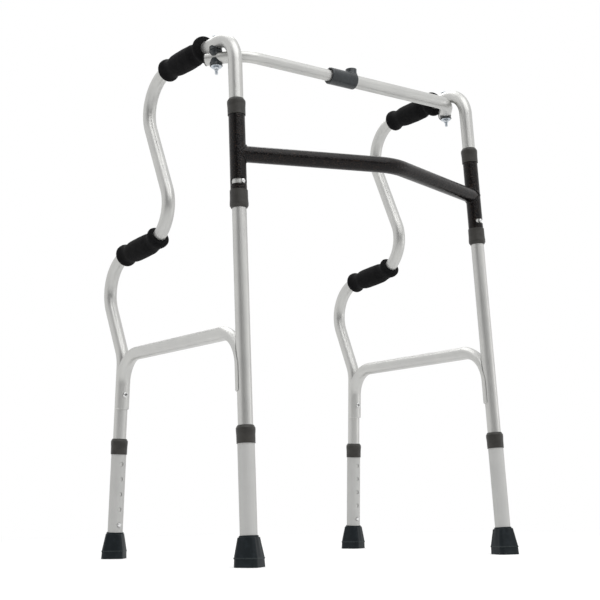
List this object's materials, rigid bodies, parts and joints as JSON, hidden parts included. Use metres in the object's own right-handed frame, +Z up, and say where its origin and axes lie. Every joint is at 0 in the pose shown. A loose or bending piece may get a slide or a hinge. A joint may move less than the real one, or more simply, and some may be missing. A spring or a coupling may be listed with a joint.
{
  "type": "reciprocal walker",
  "caption": "Folding reciprocal walker: two bent tube side frames swing in a front cross brace, with a telescoping crossbar, foam grips and height-adjustable legs.",
  "frame": {"origin": "centre of the object's bounding box, on the floor", "axes": "+Z up; the user stands behind the cross brace and walks towards -Y; +X is the user's left, and nodes named left lie at -X, as seen by someone who faces the front"},
  "size_m": [0.5568, 0.5038, 0.8341],
  "materials": {
    "anodised": "satin silver anodised tube",
    "black_coat": "black hammered powder coat",
    "grey_plastic": "moulded dark grey plastic",
    "slate_plastic": "moulded slate grey plastic",
    "foam": "black moulded foam",
    "rubber_foot": "blue-black moulded rubber",
    "zinc": "bright zinc plate",
    "steel": "bright steel",
    "black_cap": "black moulded plastic",
    "nylon": "pale nylon"
  },
  "bodies": {
    "cross_brace": {"left_sleeve": "black_coat", "right_sleeve": "black_coat", "cross_tube": "black_coat", "left_sleeve_collar_upper": "grey_plastic", "left_sleeve_collar_lower": "grey_plastic", "right_sleeve_collar_upper": "grey_plastic", "right_sleeve_collar_lower": "grey_plastic"},
    "left_side_frame": {"left_frame_tube": "anodised", "left_lower_brace": "anodised", "left_upper_grip": "foam", "left_lower_grip": "foam", "left_front_brace_screw": "steel", "left_rear_brace_screw": "steel", "left_saddle_upper": "slate_plastic", "left_pivot_bolt": "zinc", "left_pivot_washer": "zinc", "left_pivot_nut": "zinc", "left_pivot_bush": "nylon", "left_thrust_washer": "nylon"},
    "left_crossbar_half": {"left_crossbar": "anodised", "left_saddle_middle": "slate_plastic", "left_saddle_lower": "slate_plastic", "left_crossbar_cap": "black_cap"},
    "left_front_leg_end": {"left_front_extension": "anodised", "left_front_collar": "grey_plastic", "left_front_foot": "rubber_foot"},
    "left_front_button": {"left_front_button": "steel"},
    "left_rear_leg_end": {"left_rear_extension": "anodised", "left_rear_collar": "grey_plastic", "left_rear_foot": "rubber_foot"},
    "left_rear_button": {"left_rear_button": "steel"},
    "left_swing_button": {"left_swing_button": "steel"},
    "right_side_frame": {"right_frame_tube": "anodised", "right_lower_brace": "anodised", "right_upper_grip": "foam", "right_lower_grip": "foam", "right_front_brace_screw": "steel", "right_rear_brace_screw": "steel", "right_saddle_upper": "slate_plastic", "right_pivot_bolt": "zinc", "right_pivot_washer": "zinc", "right_pivot_nut": "zinc", "right_pivot_bush": "nylon", "right_thrust_washer": "nylon"},
    "right_crossbar_half": {"right_crossbar": "anodised", "crossbar_sleeve": "slate_plastic", "right_saddle_middle": "slate_plastic", "right_saddle_lower": "slate_plastic", "right_crossbar_cap": "black_cap"},
    "right_front_leg_end": {"right_front_extension": "anodised", "right_front_collar": "grey_plastic", "right_front_foot": "rubber_foot"},
    "right_front_button": {"right_front_button": "steel"},
    "right_rear_leg_end": {"right_rear_extension": "anodised", "right_rear_collar": "grey_plastic", "right_rear_foot": "rubber_foot"},
    "right_rear_button": {"right_rear_button": "steel"},
    "right_swing_button": {"right_swing_button": "steel"},
    "crossbar_button": {"crossbar_button": "steel"}
  },
  "joints": [
    {"name": "left_fold", "type": "hinge", "parent": "cross_brace", "child": "left_side_frame", "pos_m": [-0.251, -0.2013, 0], "axis": [-0.0107, -0.0576, -0.9983], "range_deg": [0, 30], "deforming": ["crossbar_button"]},
    {"name": "left_bar_pivot", "type": "hinge", "parent": "left_side_frame", "child": "left_crossbar_half", "pos_m": [-0.24376, -0.10133, 0.81197], "axis": [0.0107, 0.0576, 0.9983], "range_deg": [0, 30]},
    {"name": "left_front_height", "type": "slide", "parent": "left_side_frame", "child": "left_front_leg_end", "axis": [-0.0107, -0.0576, -0.9983], "range_m": [0, 0.1016], "deforming": ["left_front_button"]},
    {"name": "left_front_button_press", "type": "slide", "parent": "left_side_frame", "child": "left_front_button", "axis": [0.0111, -0.9983, 0.0574], "range_m": [0, 0.004], "stiffness_N_per_m": 1500, "springref_m": -0.002},
    {"name": "left_rear_height", "type": "slide", "parent": "left_side_frame", "child": "left_rear_leg_end", "axis": [-0.0119, 0.0576, -0.9983], "range_m": [0, 0.1016], "deforming": ["left_rear_button"]},
    {"name": "left_rear_button_press", "type": "slide", "parent": "left_side_frame", "child": "left_rear_button", "axis": [-0.0098, 0.9983, 0.0577], "range_m": [0, 0.004], "stiffness_N_per_m": 1500, "springref_m": -0.002},
    {"name": "left_swing_button_press", "type": "slide", "parent": "left_side_frame", "child": "left_swing_button", "axis": [-0.0111, 0.9983, -0.0574], "range_m": [0, 0.004], "stiffness_N_per_m": 1500, "springref_m": -0.002},
    {"name": "right_fold", "type": "hinge", "parent": "cross_brace", "child": "right_side_frame", "pos_m": [0.251, -0.2013, 0], "axis": [-0.0107, 0.0576, 0.9983], "range_deg": [0, 30]},
    {"name": "right_bar_pivot", "type": "hinge", "parent": "right_side_frame", "child": "right_crossbar_half", "pos_m": [0.24376, -0.10133, 0.81197], "axis": [-0.0107, 0.0576, 0.9983], "range_deg": [-30, 0]},
    {"name": "right_front_height", "type": "slide", "parent": "right_side_frame", "child": "right_front_leg_end", "axis": [0.0107, -0.0576, -0.9983], "range_m": [0, 0.1016], "deforming": ["right_front_button"]},
    {"name": "right_front_button_press", "type": "slide", "parent": "right_side_frame", "child": "right_front_button", "axis": [-0.0111, -0.9983, 0.0574], "range_m": [0, 0.004], "stiffness_N_per_m": 1500, "springref_m": -0.002},
    {"name": "right_rear_height", "type": "slide", "parent": "right_side_frame", "child": "right_rear_leg_end", "axis": [0.0119, 0.0576, -0.9983], "range_m": [0, 0.1016], "deforming": ["right_rear_button"]},
    {"name": "right_rear_button_press", "type": "slide", "parent": "right_side_frame", "child": "right_rear_button", "axis": [0.0098, 0.9983, 0.0577], "range_m": [0, 0.004], "stiffness_N_per_m": 1500, "springref_m": -0.002},
    {"name": "right_swing_button_press", "type": "slide", "parent": "right_side_frame", "child": "right_swing_button", "axis": [0.0111, 0.9983, -0.0574], "range_m": [0, 0.004], "stiffness_N_per_m": 1500, "springref_m": -0.002},
    {"name": "crossbar_button_press", "type": "slide", "parent": "left_crossbar_half", "child": "crossbar_button", "axis": [0, 0, -1], "range_m": [0, 0.004], "stiffness_N_per_m": 1500, "springref_m": -0.002}
  ],
  "couplings": [
    {"joint": "left_bar_pivot", "follows": "left_fold", "ratio": 1},
    {"joint": "right_bar_pivot", "follows": "left_fold", "ratio": -1},
    {"joint": "right_fold", "follows": "left_fold", "ratio": 1}
  ]
}
